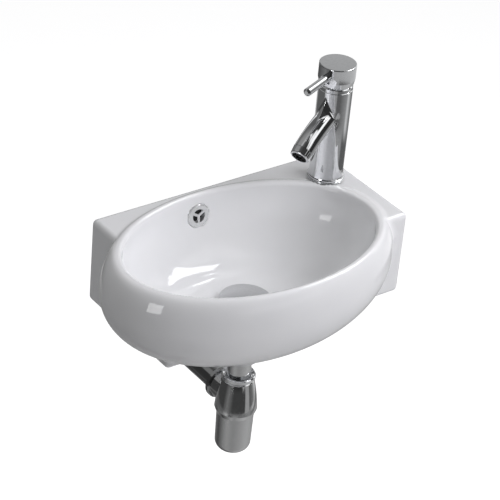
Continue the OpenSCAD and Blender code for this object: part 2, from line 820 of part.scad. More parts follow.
module handle_cap() color("silver") at_tap() {
    boss_r = 7.5;
    top_round = 1.2;
    boss_low = cap_low + 1.5;
    taper_h = 7;
    roof_z = tap_h - cap_roof;
    lever_rib = lever_r + 2.5;
    difference() {
        union() {
            difference() {
                rotate_extrude() {
                    polygon([
                        [0, cap_low], [cap_skirt_r, cap_low], [cap_r, cap_low + taper_h],
                        [cap_r, tap_h - top_round], [cap_r - top_round, tap_h - top_round],
                        [cap_r - top_round, tap_h], [0, tap_h]
                    ]);
                    translate([cap_r - top_round, tap_h - top_round]) circle(top_round);
                }
                rod(cap_hollow_r, cap_low - cut, roof_z);
            }
            rod(boss_r, boss_low, roof_z + cut);
            intersection() {
                translate([0, -lever_rib, grub_h]) cube([cap_r, 2 * lever_rib, roof_z + cut - grub_h]);
                rod(cap_hollow_r + cut, cap_low, tap_h - cut);
            }
            forward(grub_h) rod(3.4, 0, cap_hollow_r + 0.6);
        }
        forward(grub_h - arch_drop) rod(arch_r, arch_face, cap_r + cut);
        translate([-stem_w / 2 - running, -stem_w / 2 - running, boss_low - cut])
            cube([stem_w + 2 * running, stem_w + 2 * running, stem_top - boss_low + cut + 0.2]);
        forward(lever_h) rod(lever_r + running, stem_w / 2 + 3, cap_r + 2);
        forward(grub_h) rod(grub_r + running, 0, cap_r + cut);
    }
}

module handle_lever() color("silver") at_tap() forward(lever_h) rotate_extrude() {
    tip = 2.6;
    from = stem_w / 2 + 3.2;
    polygon([
        [0, from], [lever_r, from], [lever_r, lever_reach - tip], [lever_r - tip, lever_reach],
        [0, lever_reach]
    ]);
}

module grub_screw() color("dimgray") at_tap() forward(grub_h) difference() {
    rod(grub_r, stem_w / 2, grub_end);
    translate([0, 0, grub_end - grub_socket_l]) cylinder(r = 1.1, h = grub_socket_l + cut, $fn = 6);
}

module tap_stud() color("goldenrod") at_tap() translate([-stud_back, 0, 0])
    rod(stud_r, -deck_t - stud_below, foot_z + stud_in);

// Plate under the deck, open towards the supply inlets
module horseshoe(low, high) {
    plate_r = 23;
    opening_w = 2 * (inlet_side + inlet_r + 1.4);
    difference() {
        rod(plate_r, low, high);
        translate([-stud_back, 0, 0]) rod(stud_r + slack, low - cut, high + cut);
        translate([inlet_ahead - inlet_r - 1, -opening_w / 2, low - cut])
            cube([plate_r + cut, opening_w, high - low + 2 * cut]);
    }
}

module stud_gasket() color("dimgray") at_tap() horseshoe(-deck_t - 3, -deck_t);

module stud_washer() color("silver") at_tap() horseshoe(-deck_t - 5, -deck_t - 3);

module stud_nut() color("goldenrod") at_tap() {
    nut_h = 10;
    nut_corner_r = 7.5;
    translate([-stud_back, 0, -deck_t - 5 - nut_h]) difference() {
        cylinder(r = nut_corner_r, h = nut_h, $fn = 6);
        translate([0, 0, -cut]) cylinder(r = stud_r + running, h = nut_h + 2 * cut);
    }
}

basin();
overflow_ring();
waste_body();
waste_top_seal();
waste_bottom_seal();
waste_back_nut();
click_cartridge();
plug_stem();
drain_plug();
plug_seal();
inlet_nut();
inlet_washer();
inlet_tube();
trap_top_nut();
trap_top_seal();
trap_body();
dip_tube();
trap_cup();
cup_seal();
outlet_nut();
outlet_seal();
outlet_pipe();
wall_rosette();
tap_body();
tap_base_ring();
tap_base_seal();
aerator_housing();
aerator_insert();
cartridge_housing();
cartridge_carrier();
cartridge_stem();
cartridge_nut();
dome_ring();
handle_cap();
handle_lever();
grub_screw();
tap_stud();
stud_gasket();
stud_washer();
stud_nut();
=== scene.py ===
"""A wall-hung ceramic washbasin with its tap and bottle trap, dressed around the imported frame."""

import json
import math

import bpy
import numpy as np
from mathutils import Matrix, Vector


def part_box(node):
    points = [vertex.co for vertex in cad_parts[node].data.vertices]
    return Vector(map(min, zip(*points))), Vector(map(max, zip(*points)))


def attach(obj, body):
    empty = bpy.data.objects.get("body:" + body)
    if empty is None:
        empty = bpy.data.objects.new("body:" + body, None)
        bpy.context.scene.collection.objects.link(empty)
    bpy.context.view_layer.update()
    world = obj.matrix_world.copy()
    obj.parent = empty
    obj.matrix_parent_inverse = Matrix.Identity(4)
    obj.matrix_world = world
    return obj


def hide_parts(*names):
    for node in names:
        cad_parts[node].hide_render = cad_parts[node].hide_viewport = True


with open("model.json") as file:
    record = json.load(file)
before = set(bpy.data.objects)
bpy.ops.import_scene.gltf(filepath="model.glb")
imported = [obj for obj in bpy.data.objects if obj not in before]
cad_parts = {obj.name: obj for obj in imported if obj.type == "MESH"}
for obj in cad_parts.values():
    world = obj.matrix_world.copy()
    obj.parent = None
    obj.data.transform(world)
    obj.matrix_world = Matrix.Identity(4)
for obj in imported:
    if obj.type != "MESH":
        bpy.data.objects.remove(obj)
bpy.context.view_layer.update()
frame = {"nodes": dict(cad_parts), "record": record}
nodes = frame["nodes"]

MM = 0.001


# Places and sizes taken from the frame, in millimetres


def node_box(name):
    """Lowest and highest corners of a CAD node, in millimetres."""
    low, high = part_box(name)
    return np.array(low) / MM, np.array(high) / MM


def middle(name):
    low, high = node_box(name)
    return (low + high) / 2


def half_width(name):
    low, high = node_box(name)
    return (high[0] - low[0]) / 2


basin_low, basin_high = node_box("basin")
waste_middle = middle("waste_body")
tap_middle = middle("tap_base_ring")
right_side = basin_high[0]
base_z = basin_low[2]
crest_z = basin_high[2]
deck_z = node_box("tap_base_seal")[0][2]
bowl_x, bowl_y = waste_middle[0], waste_middle[1]
bulge_b = bowl_y - basin_low[1]
bowl_ratio = (bowl_x - basin_low[0]) / bulge_b
tap_x, tap_y = tap_middle[0], tap_middle[1]
foot_r = half_width("tap_base_ring")
overflow_r = half_width("overflow_ring")

# Sizes of the ceramic block that the boxes don't tell, in millimetres
BLOCK_D = 186.0
EDGE_R = 7.0
WALL_T = 10.0
DECK_T = 14.0
HOLLOW_CORNER_R = 3.0
HOLLOW_EDGE_R = 2.0
BASE_EDGE_R = 2.0

# Sizes of the bowl, in millimetres. Its oval is measured along its depth.
RIM_B = 117.5
LIP_R = 5.5
BULGE_DROP = 44.0
BULGE_CORE = 53.0
BULGE_LOW = 10.5
FLOOR_B = 42.0
FLOOR_DROP = 101.0
HOLLOW_DROP = 10.0

# Width of the soft corner between block and bowl: sharp at the left, softer to the right and further down
CORNER_SHARP = 2.0
CORNER_SOFTER = 10.0
CORNER_FROM_X = -20.0
CORNER_OVER_X = 140.0
CORNER_ABOVE_DECK = 10.0
CORNER_OVER_Z = 40.0
CORNER_LEAST = 0.25

# Rib of the overflow's duct, inside the back wall
RIB_HALF_W = 13.0
RIB_FROM = 9.0
RIB_TO = 28.5
RIB_TOP_Z = 10.0
RIB_EDGE_R = 1.0

# How far cuts reach past the faces that they open
OPEN_UP = 60.0
OPEN_DOWN = 9.0
OPEN_IN_BOWL = 20.0
OPEN_TO_WALL = 20.0
OPEN_FROM_BASE = 50.0
OPEN_BACK = 1.0

# Holes, and the edge radius that each one leaves
TAP_SEAT_PLAY = 0.5
TAP_SEAT_EDGE_R = 0.8
TAP_HOLE_R = 17.5
TAP_HOLE_EDGE_R = 0.5
TAP_CLEAR_R = 25.0
DISH_R = 34.0
DISH_DROP = 3.0
DISH_EDGE_R = 1.5
DRAIN_HOLE_R = 23.0
UNDER_RECESS_R = 38.0
UNDER_RECESS_DROP = 15.0
FIXING_X = 140.0
FIXING_R = 6.0
FIXING_EDGE_R = 0.5
FIXING_NUT_R = 14.0
FIXING_NUT_TO = 26.0
FIXING_SLOT_R = 1.0
OPENING_EDGE_R = 1.0

# Overflow in the bowl's back wall
OVERFLOW_DROP = 29.0
OVERFLOW_TILT = math.radians(10.0)
OVERFLOW_HOLE_R = 11.0
OVERFLOW_HOLE_HALF_L = 6.0
OVERFLOW_HOLE_EDGE_R = 0.3
OVERFLOW_SEAT_PLAY = 0.5
OVERFLOW_SINK = 1.2
OVERFLOW_OPEN = 8.0
OVERFLOW_SEAT_EDGE_R = 0.6
# Radius round the duct's inner end inside which painted shade darkens the glaze
PAINTED_DUCT_SHADE_R = 10.5

# Sizes of the tap that the boxes don't tell, in millimetres
TAP_TURN = math.radians(1.5)
SPOUT_BEND = 203.0
SPOUT_FROM = math.radians(11.0)
SPOUT_UP = 100.0
SPOUT_R = 14.0
BODY_LOW_R = 22.8
BODY_SPREAD = 0.4
BODY_FOOT = 18.5
BODY_RISE = 117.2

# Fillet between spout and body: its size at the spout's ridge, and how it fades to the spout's sides
FILLET = 24.0
FILLET_FADE = 1.4
FILLET_ROOT = 4.0
FILLET_LEAST = 0.01
FILLET_EDGE = 0.015

# Box round the fillet, from the tap's axis and the deck
FILLET_BEFORE = 55.0
FILLET_BEHIND = 5.0
FILLET_RIGHT = 45.0
FILLET_LEFT = 10.0
FILLET_LOW = 88.0
FILLET_HIGH = 134.0

# Grid cells of the two soft surfaces, in millimetres
BASIN_CELL = 2.5
FILLET_CELL = 0.8

# How points settle on a surface, and how many rows of the grid are worked out at a time
SETTLE_STEPS = 3
SLOPE_REACH = 0.4
SLOPE_LEAST = 0.2
SLAB_ROWS = 16

crest_r = RIM_B + LIP_R
bulge_z = deck_z - BULGE_DROP
floor_z = deck_z - FLOOR_DROP
hollow_top = deck_z - HOLLOW_DROP
overflow_z = deck_z - OVERFLOW_DROP


# Node-tree helpers


def new_nodes(owner):
    owner.use_nodes = True
    owner.node_tree.nodes.clear()
    return owner.node_tree


def add(tree, kind, inputs=None, **settings):
    """A new node with its settings made. Each input takes a value or another node's output."""
    n = tree.nodes.new(kind)
    for key, value in settings.items():
        setattr(n, key, value)
    for key, value in (inputs or {}).items():
        if isinstance(value, bpy.types.NodeSocket):
            tree.links.new(value, n.inputs[key])
        else:
            n.inputs[key].default_value = value
    return n


def calc(tree, operation, a, b=0.0, c=0.0):
    return add(tree, "ShaderNodeMath", {0: a, 1: b, 2: c}, operation=operation).outputs[0]


def ramp(tree, fac, stops):
    """Colours or grey levels at a few places from 0 to 1, with straight runs between them."""
    n = add(tree, "ShaderNodeValToRGB", {"Fac": fac})
    n.color_ramp.interpolation = "LINEAR"
    elements = n.color_ramp.elements
    while len(elements) < len(stops):
        elements.new(0.5)
    for element, (position, value) in zip(elements, stops):
        element.position = position
        element.color = (*value, 1) if isinstance(value, tuple) else (value, value, value, 1)
    return n.outputs["Color"]


def mix(tree, share, a, b):
    """Colour a where the share is 0 and colour b where it is 1."""
    n = add(tree, "ShaderNodeMix", data_type="RGBA")
    for socket, value in ((0, share), (6, a), (7, b)):
        if isinstance(value, bpy.types.NodeSocket):
            tree.links.new(value, n.inputs[socket])
        else:
            n.inputs[socket].default_value = value
    return n.outputs[2]


def grey(level):
    return (level, level, level, 1)


def noise(tree, scale, detail=2.0, stretch=None):
    coords = add(tree, "ShaderNodeTexCoord").outputs["Object"]
    if stretch:
        coords = add(tree, "ShaderNodeMapping", {"Vector": coords, "Scale": stretch}).outputs[0]
    inputs = {"Vector": coords, "Scale": scale, "Detail": detail, "Roughness": 0.5}
    return add(tree, "ShaderNodeTexNoise", inputs).outputs["Fac"]


def bumped(tree, height, strength, distance):
    inputs = {"Height": height, "Strength": strength, "Distance": distance}
    return add(tree, "ShaderNodeBump", inputs).outputs[0]


def finish_material(tree, shader):
    out = add(tree, "ShaderNodeOutputMaterial")
    tree.links.new(shader, out.inputs["Surface"])


# Materials


def glazed_ceramic():
    """White glaze: clear and glossy, faintly wavy and cloudy, with painted shade that makes it nearly black
    inside the overflow's duct.
    """
    m = bpy.data.materials.new("glazed_ceramic")
    t = new_nodes(m)
    cloud = noise(t, 9.0, 3.0)
    colour = ramp(t, cloud, [(0.3, (0.87, 0.874, 0.888)), (0.7, (0.9, 0.902, 0.911))])
    duct = Vector((bowl_x, bowl_y + RIM_B, overflow_z)) * MM
    coords = add(t, "ShaderNodeTexCoord").outputs["Object"]
    depth = add(t, "ShaderNodeVectorMath", {0: coords, 1: duct}, operation="DISTANCE").outputs["Value"]
    # Painted shade: the glaze is coloured nearly black inside the overflow's duct, where the recess lies in
    # shade
    colour = mix(t, calc(t, "LESS_THAN", depth, PAINTED_DUCT_SHADE_R * MM), colour, grey(0.02))
    waves = bumped(t, noise(t, 42.0, 1.0), 0.04, 0.0015)
    rough = ramp(t, noise(t, 60.0), [(0.3, 0.03), (0.7, 0.045)])
    inputs = {"Base Color": colour, "Roughness": rough, "IOR": 1.5, "Normal": waves}
    finish_material(t, add(t, "ShaderNodeBsdfPrincipled", inputs).outputs[0])
    return m


def metal(name, colour, roughness, spread=0.02, stretch=None, bump=0.0, metallic=1.0):
    """Metal whose colour and roughness vary a little with a fine grain."""
    m = bpy.data.materials.new(name)
    t = new_nodes(m)
    grain = noise(t, 300.0, 3.0, stretch)
    dark = tuple(c * 0.95 for c in colour)
    inputs = {
        "Base Color": ramp(t, grain, [(0.35, dark), (0.65, colour)]),
        "Metallic": metallic,
        "Roughness": ramp(t, grain, [(0.3, roughness), (0.7, roughness + spread)]),
    }
    if bump:
        inputs["Normal"] = bumped(t, grain, bump, 0.0005)
    finish_material(t, add(t, "ShaderNodeBsdfPrincipled", inputs).outputs[0])
    return m


def matte(name, colour, roughness):
    """Rubber or plastic with a fine grain."""
    m = bpy.data.materials.new(name)
    t = new_nodes(m)
    grain = noise(t, 900.0)
    dark = tuple(c * 0.85 for c in colour)
    inputs = {
        "Base Color": ramp(t, grain, [(0.3, dark), (0.7, colour)]),
        "Roughness": roughness,
        "Normal": bumped(t, grain, 0.2, 0.0002),
    }
    finish_material(t, add(t, "ShaderNodeBsdfPrincipled", inputs).outputs[0])
    return m


CERAMIC = glazed_ceramic()
CHROME = metal("chrome", (0.80, 0.81, 0.825), 0.018, 0.012)
SATIN_CHROME = metal("satin_chrome", (0.93, 0.935, 0.945), 0.22, 0.03, metallic=0.55)
TRAP_CHROME = metal("trap_chrome", (0.70, 0.705, 0.71), 0.08, 0.03)
DARK_CHROME = metal("dark_chrome", (0.46, 0.465, 0.47), 0.05, 0.02)
CUP_CHROME = metal("cup_chrome", (0.70, 0.705, 0.71), 0.2, 0.06)
BRASS = metal("brass", (0.72, 0.52, 0.24), 0.22, 0.08, stretch=(1, 1, 12), bump=0.05)
STEEL = metal("turned_steel", (0.58, 0.58, 0.59), 0.25, 0.08, stretch=(1, 1, 14), bump=0.08)
RUBBER = matte("black_rubber", (0.025, 0.025, 0.025), 0.7)
IVORY_PLASTIC = matte("ivory_plastic", (0.72, 0.71, 0.66), 0.4)
DARK_PLASTIC = matte("dark_plastic", (0.03, 0.03, 0.032), 0.45)

SLOT_MATERIALS = {
    "ceramic": CERAMIC,
    "chrome": CHROME,
    "brass": BRASS,
    "steel": STEEL,
    "rubber": RUBBER,
    "white_plastic": IVORY_PLASTIC,
    "dark_plastic": DARK_PLASTIC,
}

# Chromed pieces that look brighter or duller than the tap
NODE_MATERIALS = {
    "overflow_ring": SATIN_CHROME,
    "drain_plug": TRAP_CHROME,
    "inlet_tube": TRAP_CHROME,
    "trap_body": TRAP_CHROME,
    "outlet_nut": DARK_CHROME,
    "outlet_pipe": DARK_CHROME,
    "trap_cup": CUP_CHROME,
}


def dress_nodes():
    for part in frame["record"]["subparts"]:
        mesh = nodes[part["node"]].data
        mesh.materials.clear()
        mesh.materials.append(NODE_MATERIALS.get(part["node"], SLOT_MATERIALS[part["material_slot"]]))


# Distances to simple forms, in millimetres: negative inside


def smooth_union(a, b, k):
    h = np.maximum(k - np.abs(a - b), 0) / k
    return np.minimum(a, b) - h * h * k / 4


def cut_round(solid, hole, r):
    """The solid without the hole, with an edge of radius r left between them."""
    a, b = solid, -hole
    return np.minimum(-r, np.maximum(a, b)) + np.hypot(np.maximum(a + r, 0), np.maximum(b + r, 0))


def box_distance(p, low, high, r):
    """Box between two corners, with its edges rounded."""
    half = [(b - a) / 2 for a, b in zip(low, high)]
    q = [np.abs(p[i] - (low[i] + high[i]) / 2) - half[i] + r for i in range(3)]
    outside = np.sqrt(sum(np.maximum(v, 0) ** 2 for v in q))
    inside = np.minimum(np.maximum(np.maximum(q[0], q[1]), q[2]), 0)
    return outside + inside - r


def upright_rod(p, x, y, r, low, high):
    side = np.hypot(p[0] - x, p[1] - y) - r
    return np.maximum(side, np.maximum(low - p[2], p[2] - high))


def rod_along_y(p, x, z, r, low, high):
    side = np.hypot(p[0] - x, p[2] - z) - r
    return np.maximum(side, np.maximum(low - p[1], p[1] - high))


def oval_distance(radius, rise, core_r, outer_r, height, slope):
    """Near distance to a form that is flat out to core_r and rounded over a height to outer_r."""
    out = np.maximum(radius - core_r, 0)
    width = outer_r - core_r
    k0 = np.hypot(out / width, rise / height)
    k1 = np.hypot(slope * out / width**2, rise / height**2)
    near = k0 * (k0 - 1) / np.maximum(k1, 1e-9)
    return np.where(k1 > 1e-9, near, -min(width, height))


# The glazed basin


def oval_radius(p):
    """Radius of a point on the bowl's oval, measured along its depth, and how fast it grows."""
    radius = np.hypot((p[0] - bowl_x) / bowl_ratio, p[1] - bowl_y)
    slope = np.hypot((p[0] - bowl_x) / bowl_ratio**2, p[1] - bowl_y) / np.maximum(radius, 1e-6)
    return radius, np.where(radius < 1, 1.0, slope)


def bulge_distance(p):
    """The bowl's outside, rounded above and below its widest level."""
    radius, slope = oval_radius(p)
    rise = p[2] - bulge_z
    over = oval_distance(radius, np.maximum(rise, 0), crest_r, bulge_b, crest_z - bulge_z, slope)
    low_height = bulge_z - base_z + BULGE_LOW
    under = oval_distance(radius, np.minimum(rise, 0), BULGE_CORE, bulge_b, low_height, slope)
    return np.where(p[2] > bulge_z, over, under)


def cavity_distance(p):
    """The bowl's inside, straight at the rim and rounded down to its flat floor."""
    radius, slope = oval_radius(p)
    rise = np.minimum(p[2] - hollow_top, 0)
    round_wall = oval_distance(radius, rise, FLOOR_B, RIM_B, hollow_top - floor_z, slope)
    return np.where(p[2] > hollow_top, (radius - RIM_B) / slope, round_wall)


def block_distance(p):
    """The wall block with the hollow under its deck."""
    block = box_distance(p, (-right_side, -BLOCK_D, base_z), (right_side, 0, deck_z), EDGE_R)
    inner = right_side - WALL_T
    hollow_low = (-inner, WALL_T - BLOCK_D, base_z - OPEN_FROM_BASE)
    hollow_high = (inner, -WALL_T, deck_z - DECK_T)
    return cut_round(block, box_distance(p, hollow_low, hollow_high, HOLLOW_CORNER_R), HOLLOW_EDGE_R)


def block_with_bulge(p):
    rightward = np.clip((p[0] - CORNER_FROM_X) / CORNER_OVER_X, 0, 1)
    lower = np.clip((deck_z + CORNER_ABOVE_DECK - p[2]) / CORNER_OVER_Z, CORNER_LEAST, 1)
    corner = CORNER_SHARP + CORNER_SOFTER * rightward * lower
    return smooth_union(block_distance(p), bulge_distance(p), corner)


def rib_distance(p):
    low = (bowl_x - RIB_HALF_W, -RIB_TO, base_z)
    high = (bowl_x + RIB_HALF_W, -RIB_FROM, RIB_TOP_Z)
    return box_distance(p, low, high, RIB_EDGE_R)


def tap_holes(p):
    """The tap's flat seat, its hole and the room under the deck, each with its edge radius."""
    below, above = base_z - OPEN_DOWN, deck_z + OPEN_UP
    return (
        (upright_rod(p, tap_x, tap_y, foot_r + TAP_SEAT_PLAY, deck_z, above), TAP_SEAT_EDGE_R),
        (upright_rod(p, tap_x, tap_y, TAP_HOLE_R, below, above), TAP_HOLE_EDGE_R),
        (upright_rod(p, tap_x, tap_y, TAP_CLEAR_R, below, deck_z - DECK_T), OPENING_EDGE_R),
    )


def drain_holes(p):
    """The dish round the waste, the drain hole and the recess under the floor, each with its edge radius."""
    below, above = base_z - OPEN_DOWN, floor_z + OPEN_IN_BOWL
    return (
        (upright_rod(p, bowl_x, bowl_y, DISH_R, floor_z - DISH_DROP, above), DISH_EDGE_R),
        (upright_rod(p, bowl_x, bowl_y, DRAIN_HOLE_R, below, above), OPENING_EDGE_R),
        (upright_rod(p, bowl_x, bowl_y, UNDER_RECESS_R, below, floor_z - UNDER_RECESS_DROP), OPENING_EDGE_R),
    )


def fixing_holes(p, x):
    """A wall-fixing hole and the room for its nut, each with its edge radius."""
    slot_low = (x - FIXING_NUT_R, -FIXING_NUT_TO, base_z - OPEN_DOWN)
    slot_high = (x + FIXING_NUT_R, -WALL_T, 0)
    return (
        (rod_along_y(p, x, 0, FIXING_R, -WALL_T - OPEN_BACK, OPEN_TO_WALL), FIXING_EDGE_R),
        (rod_along_y(p, x, 0, FIXING_NUT_R, -FIXING_NUT_TO, -WALL_T), OPENING_EDGE_R),
        (box_distance(p, slot_low, slot_high, FIXING_SLOT_R), OPENING_EDGE_R),
    )


def overflow_holes(p):
    """The overflow's hole, square to the bowl's leaning wall, and the shallow seat of its ring."""
    level = (hollow_top - overflow_z) / (hollow_top - floor_z)
    wall_y = bowl_y + FLOOR_B + (RIM_B - FLOOR_B) * math.sqrt(1 - level**2)
    back, rise = p[1] - wall_y, p[2] - overflow_z
    along = -back * math.cos(OVERFLOW_TILT) + rise * math.sin(OVERFLOW_TILT)
    up = back * math.sin(OVERFLOW_TILT) + rise * math.cos(OVERFLOW_TILT)
    off_axis = np.hypot(p[0] - bowl_x, up)
    hole = np.maximum(off_axis - OVERFLOW_HOLE_R, np.abs(along) - OVERFLOW_HOLE_HALF_L)
    seat_end = np.abs(along - (OVERFLOW_OPEN - OVERFLOW_SINK) / 2) - (OVERFLOW_OPEN + OVERFLOW_SINK) / 2
    seat = np.maximum(off_axis - overflow_r - OVERFLOW_SEAT_PLAY, seat_end)
    return (hole, OVERFLOW_HOLE_EDGE_R), (seat, OVERFLOW_SEAT_EDGE_R)


def ceramic_distance(x, y, z):
    """Distance to the glazed surface: the block and the bowl run into each other softly."""
    p = (x, y, z)
    solid = np.minimum(block_with_bulge(p), rib_distance(p))
    solid = cut_round(solid, z - base_z, BASE_EDGE_R)
    solid = np.maximum(solid, np.maximum(y, z - crest_z))
    holes = [*tap_holes(p), (cavity_distance(p), LIP_R), *drain_holes(p)]
    for side in (-1, 1):
        holes += fixing_holes(p, side * FIXING_X)
    holes += overflow_holes(p)
    for hole, edge_r in holes:
        solid = cut_round(solid, hole, edge_r)
    return solid


# The fillet between the tap's spout and body


def spout_and_body(x, y, z):
    """Distances to the spout and to the tap's body, and how near a point is to the spout's upper middle."""
    heading = math.atan2(bowl_y - tap_y, bowl_x - tap_x) - TAP_TURN
    ahead = (x - tap_x) * math.cos(heading) + (y - tap_y) * math.sin(heading)
    across = (y - tap_y) * math.cos(heading) - (x - tap_x) * math.sin(heading)
    up = z - deck_z
    bend_ahead = ahead + SPOUT_BEND * math.sin(SPOUT_FROM)
    bend_up = up - SPOUT_UP + SPOUT_BEND * math.cos(SPOUT_FROM)
    above = np.hypot(bend_ahead, bend_up) - SPOUT_BEND
    spout = np.hypot(above, across) - SPOUT_R
    body_r = BODY_LOW_R + BODY_SPREAD * (up - BODY_FOOT) / BODY_RISE
    near = np.clip(1 - np.abs(across) / SPOUT_R, 0, 1) * np.clip(above / FILLET_ROOT, 0, 1)
    return spout, np.hypot(ahead, across) - body_r, near


def fillet_distance(x, y, z):
    spout, body, near = spout_and_body(x, y, z)
    return smooth_union(body, spout, np.maximum(FILLET * near**FILLET_FADE, FILLET_LEAST))


def on_fillet(x, y, z):
    """True where the soft surface stands clear of both the spout and the body."""
    spout, body, _ = spout_and_body(x, y, z)
    return np.minimum(spout, body) > FILLET_EDGE


# Mesh on a surface that is given by its distance


def crossings(values, step, low):
    """One point for each grid cell that the surface passes through, and the quads that join them."""
    inside = values < 0
    cells = [n - 1 for n in values.shape]
    total = np.zeros([*cells, 3])
    count = np.zeros(cells)
    ends = [slice(0, -1), slice(1, None)]

    # Each cell's point is the mean of the crossings on its twelve edges
    for axis in range(3):
        others = [a for a in range(3) if a != axis]
        for s in (0, 1):
            for t in (0, 1):
                first, last = [None] * 3, [None] * 3
                first[axis], last[axis] = ends[0], ends[1]
                first[others[0]] = last[others[0]] = ends[s]
                first[others[1]] = last[others[1]] = ends[t]
                a, b = values[tuple(first)], values[tuple(last)]
                crossed = (a < 0) != (b < 0)
                share = np.where(crossed, a / np.where(crossed, a - b, 1), 0)
                count += crossed
                total[..., axis] += share
                total[..., others[0]] += crossed * s
                total[..., others[1]] += crossed * t
    used = count > 0
    number = np.full(used.shape, -1)
    number[used] = np.arange(used.sum())
    points = (np.argwhere(used) + total[used] / count[used][:, None]) * step + np.array(low)

    # Each crossed edge of the grid is the middle of a quad that joins the four cells round it
    quads = []
    for axis in range(3):
        u, w = (axis + 1) % 3, (axis + 2) % 3
        first, last = [slice(1, -1)] * 3, [slice(1, -1)] * 3
        first[axis], last[axis] = ends[0], ends[1]
        a, b = inside[tuple(first)], inside[tuple(last)]
        at = np.argwhere(a != b)
        outward = a[a != b]
        at[:, u] += 1
        at[:, w] += 1
        du, dw = np.eye(3, dtype=int)[u], np.eye(3, dtype=int)[w]
        corners = [number[tuple((at - shift).T)] for shift in (0 * du, du, du + dw, dw)]
        quad = np.stack(corners, 1)
        quads.append(np.where(outward[:, None], quad, quad[:, ::-1]))
    return points, np.concatenate(quads)


def slopes_at(distance, points):
    """How the distance grows along x, y and z at each point."""
    slopes = np.empty_like(points)
    for axis in range(3):
        ahead, behind = points.copy(), points.copy()
        ahead[:, axis] += SLOPE_REACH
        behind[:, axis] -= SLOPE_REACH
        slopes[:, axis] = (distance(*ahead.T) - distance(*behind.T)) / (2 * SLOPE_REACH)
    return slopes


def settled(distance, points, step):
    """The points moved onto the surface, each time by half a cell at most."""
    for _ in range(SETTLE_STEPS):
        slopes = slopes_at(distance, points)
        move = distance(*points.T) / np.maximum((slopes**2).sum(1), SLOPE_LEAST)
        points = points - np.clip(move, -step / 2, step / 2)[:, None] * slopes
    return points


def surface_mesh(name, distance, low, high, step, wanted=None):
    """Mesh on the surface where the distance is zero, with its true normals, where it is wanted."""
    axes = [np.arange(low[i], high[i] + step, step) for i in range(3)]
    grid = np.meshgrid(*axes, indexing="ij")
    starts = range(0, len(axes[0]), SLAB_ROWS)
    slabs = [distance(*[g[start : start + SLAB_ROWS] for g in grid]) for start in starts]
    points, quads = crossings(np.concatenate(slabs), step, low)
    points = settled(distance, points, step)
    if wanted:
        kept = wanted(*points.T)
        quads = quads[kept[quads].all(1)]
        used = np.unique(quads)
        quads = np.searchsorted(used, quads)
        points = points[used]
    normals = slopes_at(distance, points)
    normals /= np.maximum(np.linalg.norm(normals, axis=1), 1e-6)[:, None]
    mesh = bpy.data.meshes.new(name)
    mesh.from_pydata((points * MM).tolist(), [], quads.tolist())
    mesh.polygons.foreach_set("use_smooth", np.ones(len(quads), bool))
    mesh.normals_split_custom_set_from_vertices(normals.tolist())
    mesh.update()
    return mesh


def add_piece(name, mesh, material, body):
    o = bpy.data.objects.new(name, mesh)
    bpy.context.scene.collection.objects.link(o)
    mesh.materials.append(material)
    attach(o, body)
    return o


def glazed_basin():
    """The basin's casting with soft transitions, in the place of its CAD solid."""
    margin = 3 * BASIN_CELL
    low = basin_low - margin
    high = basin_high + margin
    mesh = surface_mesh("glazed_basin", ceramic_distance, low, high, BASIN_CELL)
    o = add_piece("glazed_basin", mesh, CERAMIC, "basin_set")
    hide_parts("basin")


def spout_blend():
    """Soft fillet where the spout's upper side grows out of the tap's body."""
    low = np.array([tap_x - FILLET_BEFORE, tap_y - FILLET_RIGHT, deck_z + FILLET_LOW])
    high = np.array([tap_x + FILLET_BEHIND, tap_y + FILLET_LEFT, deck_z + FILLET_HIGH])
    mesh = surface_mesh("spout_blend", fillet_distance, low, high, FILLET_CELL, on_fillet)
    add_piece("spout_blend", mesh, CHROME, "basin_set")


# Camera, at the photograph's place

PIXELS = 500.0
FOCAL_PX = 2109.4
SENSOR_MM = 36.0
CAMERA_AT = Vector((-1.4487, -1.9115, 1.4683))
CAMERA_RIGHT = Vector((0.8097, -0.5814, 0.0797))
CAMERA_UP = Vector((0.2581, 0.4748, 0.8414))


def place_camera():
    """The photograph's camera. Returns the direction from the object back to it."""
    data = bpy.data.cameras.new("camera")
    data.sensor_width = SENSOR_MM
    data.lens = SENSOR_MM * FOCAL_PX / PIXELS
    data.clip_start = 0.1
    data.clip_end = 50
    o = bpy.data.objects.new("camera", data)
    bpy.context.scene.collection.objects.link(o)
    right = CAMERA_RIGHT.normalized()
    back = right.cross(CAMERA_UP).normalized()
    up = back.cross(right)
    o.matrix_world = Matrix.Translation(CAMERA_AT) @ Matrix((right, up, back)).transposed().to_4x4()
    bpy.context.scene.camera = o
    return back


# The room that glaze and chrome see

# Tones of the room
BLACK = 0.03
DARK = 0.06
DIM = 0.12
SHADED = 0.2
MIDDLE = 0.3
PALE = 0.38
LIGHT = 0.5
BRIGHT = 0.65
WHITE = 1.0
GLARE = 1.2

# Belts from the floor up, each with a tone at a few azimuths, counted from the camera in degrees
FLOOR = [(-180, MIDDLE), (-110, DARK), (-40, PALE), (0, MIDDLE), (95, LIGHT), (180, MIDDLE)]
RUG = [
    (-180, LIGHT), (-125, DIM), (-30, MIDDLE), (-20, DARK), (-5, PALE), (80, MIDDLE), (90, DIM), (140, DIM),
    (180, LIGHT),
]
FURNITURE = [
    (-160, BRIGHT), (-135, DIM), (-70, DIM), (-45, BRIGHT), (-30, DARK), (-20, DARK), (-5, PALE),
    (15, MIDDLE), (20, DIM), (40, DIM), (90, MIDDLE), (105, BRIGHT), (135, SHADED), (155, SHADED),
    (180, BRIGHT),
]
LEDGE = [(-180, LIGHT), (-150, DARK), (-75, SHADED), (-60, DIM), (-30, PALE), (90, LIGHT), (180, BRIGHT)]
WALL_FOOT = [
    (-180, LIGHT), (-150, DARK), (-70, DARK), (-45, SHADED), (-15, DARK), (50, DARK), (55, PALE), (75, PALE),
    (80, DIM), (105, SHADED), (160, GLARE), (180, LIGHT),
]
WALL = [
    (-180, LIGHT), (-155, DIM), (-120, SHADED), (-110, DARK), (-20, BLACK), (110, BLACK), (115, MIDDLE),
    (180, LIGHT),
]
